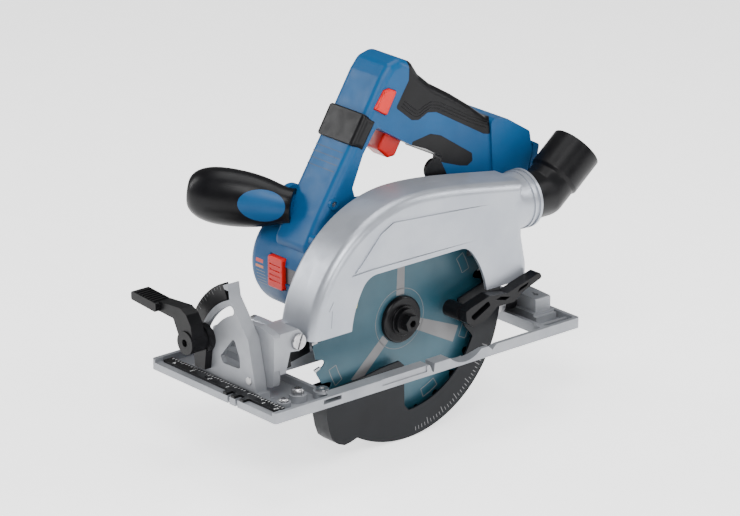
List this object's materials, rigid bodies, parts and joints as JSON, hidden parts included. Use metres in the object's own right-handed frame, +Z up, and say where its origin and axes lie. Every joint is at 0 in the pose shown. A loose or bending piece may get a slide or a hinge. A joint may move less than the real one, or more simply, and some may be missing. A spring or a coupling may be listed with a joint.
{
  "type": "cordless circular saw",
  "caption": "Cordless circular saw, blade on the left, tilting and height-adjustable base, swinging lower guard, rear handle, front handle and swivelling dust elbow.",
  "frame": {"origin": "on the sole plane (underside of the base plate), directly below the arbor, in the middle plane of the blade", "axes": "+X along the direction of cut, towards the front; +Y towards the blade side (left); +Z up, square to the sole"},
  "size_m": [0.3443, 0.1681, 0.2755],
  "materials": {
    "housing_blue": "satin",
    "guard_silver": "satin",
    "cast_silver": "satin",
    "black_plastic": "matte",
    "black_rubber": "matte",
    "guard_black": "satin",
    "red_plastic": "satin",
    "blade_coat": "satin",
    "carbide": "satin",
    "steel": "brushed",
    "black_steel": "satin",
    "lamination": "matte",
    "copper": "satin",
    "board": "matte"
  },
  "bodies": {
    "base": {"base_plate": "cast_silver", "front_scale": "black_steel", "bevel_quadrant": "cast_silver", "front_bevel_pin": "steel", "rear_pivot_block": "cast_silver", "rear_bevel_pin": "steel", "base_screws": "steel", "bevel_scale": "black_steel"},
    "tilt": {"tilt_bracket": "cast_silver", "bevel_clamp_bolt": "steel", "depth_pivot_pin": "steel", "pivot_retainer": "steel", "depth_bracket": "black_steel"},
    "bevel_lever": {"bevel_clamp_lever": "black_plastic"},
    "saw": {"upper_guard_cover": "guard_silver", "upper_guard_back": "guard_silver", "chip_deflector": "black_plastic", "gear_case": "cast_silver", "gear_case_cover": "cast_silver", "spindle_bearings": "steel", "guard_retaining_ring": "steel", "motor_stator": "lamination", "stator_windings": "copper", "rotor_bearings": "steel", "grip_pad_upper": "black_rubber", "grip_pad_lower": "black_rubber", "strut_band": "black_plastic", "housing_left": "housing_blue", "housing_right": "housing_blue", "motor_end_cap": "housing_blue", "battery_rails": "housing_blue", "battery_terminals": "copper", "control_board": "board", "trigger_switch": "black_plastic", "depth_clamp_bolt": "steel", "front_handle_core": "housing_blue", "front_handle_grip": "black_rubber", "housing_screws": "steel", "guard_return_spring": "black_steel"},
    "blade": {"spindle": "steel", "inner_flange": "black_steel", "outer_flange": "black_steel", "blade_bolt": "black_steel", "saw_blade": "blade_coat", "carbide_tips": "carbide", "output_gear": "steel"},
    "mid": {"intermediate_pinion_shaft": "steel", "intermediate_gear": "steel"},
    "rotor": {"rotor_shaft": "steel", "motor_rotor": "lamination", "motor_pinion": "steel", "cooling_fan": "black_plastic"},
    "lower_guard": {"lower_guard": "guard_black", "guard_lift_lever": "black_plastic"},
    "trigger": {"trigger": "red_plastic"},
    "lock_off": {"lock_off_button": "red_plastic"},
    "spindle_lock": {"spindle_lock_button": "red_plastic", "spindle_lock_plate": "steel"},
    "depth_lever": {"depth_lock_lever": "black_plastic"},
    "elbow": {"dust_elbow": "black_plastic"}
  },
  "joints": [
    {"name": "bevel", "type": "hinge", "parent": "base", "child": "tilt", "pos_m": [0, -0.003, 0.015], "axis": [-1, 0, 0], "range_deg": [0, 45]},
    {"name": "bevel_clamp", "type": "hinge", "parent": "tilt", "child": "bevel_lever", "pos_m": [0.147, -0.05008, 0.0346], "axis": [-1, 0, 0], "range_deg": [0, 35]},
    {"name": "depth", "type": "hinge", "parent": "tilt", "child": "saw", "pos_m": [0.105, 0, 0.0415], "axis": [0, 1, 0], "range_deg": [0, 28]},
    {"name": "depth_clamp", "type": "hinge", "parent": "saw", "child": "depth_lever", "pos_m": [-0.07185, -0.031, 0.03409], "axis": [0, 1, 0], "range_deg": [0, 40]},
    {"name": "blade_spin", "type": "hinge", "parent": "saw", "child": "blade", "pos_m": [0, 0, 0.029], "axis": [0, -1, 0], "continuous": true},
    {"name": "intermediate_spin", "type": "hinge", "parent": "saw", "child": "mid", "pos_m": [0.01378, -0.028, 0.0528], "axis": [0, -1, 0], "continuous": true},
    {"name": "rotor_spin", "type": "hinge", "parent": "saw", "child": "rotor", "pos_m": [0.032, -0.06, 0.066], "axis": [0, -1, 0], "continuous": true},
    {"name": "guard_retract", "type": "hinge", "parent": "saw", "child": "lower_guard", "pos_m": [0, -0.0075, 0.029], "axis": [0, 1, 0], "range_deg": [0, 105], "stiffness_Nm_per_rad": 0.25, "springref_deg": -20.05},
    {"name": "trigger_pull", "type": "slide", "parent": "saw", "child": "trigger", "axis": [-0.5, 0, 0.866], "range_m": [0, 0.006], "stiffness_N_per_m": 700, "springref_m": -0.002},
    {"name": "lock_off_press", "type": "slide", "parent": "saw", "child": "lock_off", "axis": [0, -1, 0], "range_m": [0, 0.004], "stiffness_N_per_m": 500, "springref_m": -0.002},
    {"name": "spindle_lock_press", "type": "slide", "parent": "saw", "child": "spindle_lock", "axis": [-1, 0, 0], "range_m": [0, 0.005], "stiffness_N_per_m": 500, "springref_m": -0.002},
    {"name": "elbow_swivel", "type": "hinge", "parent": "saw", "child": "elbow", "pos_m": [-0.117, 0.001, 0.0944], "axis": [-1, 0, 0], "range_deg": [0, 180]}
  ],
  "couplings": [
    {"joint": "intermediate_spin", "follows": "blade_spin", "ratio": -2.2353},
    {"joint": "rotor_spin", "follows": "blade_spin", "ratio": 6.1471}
  ]
}
